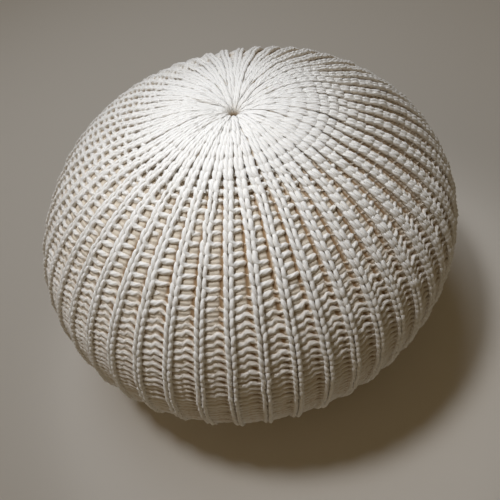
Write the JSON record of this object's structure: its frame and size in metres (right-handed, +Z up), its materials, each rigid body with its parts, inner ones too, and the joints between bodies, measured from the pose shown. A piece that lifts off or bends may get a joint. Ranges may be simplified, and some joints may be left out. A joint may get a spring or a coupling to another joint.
{
  "type": "rib-knitted floor pouf",
  "caption": "Round filled floor pouf in a cream rib-knitted cotton cover, its raised ribs running from the flat base to a gathered crown.",
  "frame": {"origin": "middle of the bounding box at the floor, under the pouf", "axes": "+Z up; -Y is the side that faces the camera; the filled body leans a little towards +X"},
  "size_m": [0.4996, 0.4992, 0.3269],
  "materials": {
    "cotton_knit": "thick soft cotton yarn in a one-by-one rib knit, matt"
  },
  "bodies": {
    "root": {"knit_pouf": "cotton_knit"}
  },
  "joints": []
}
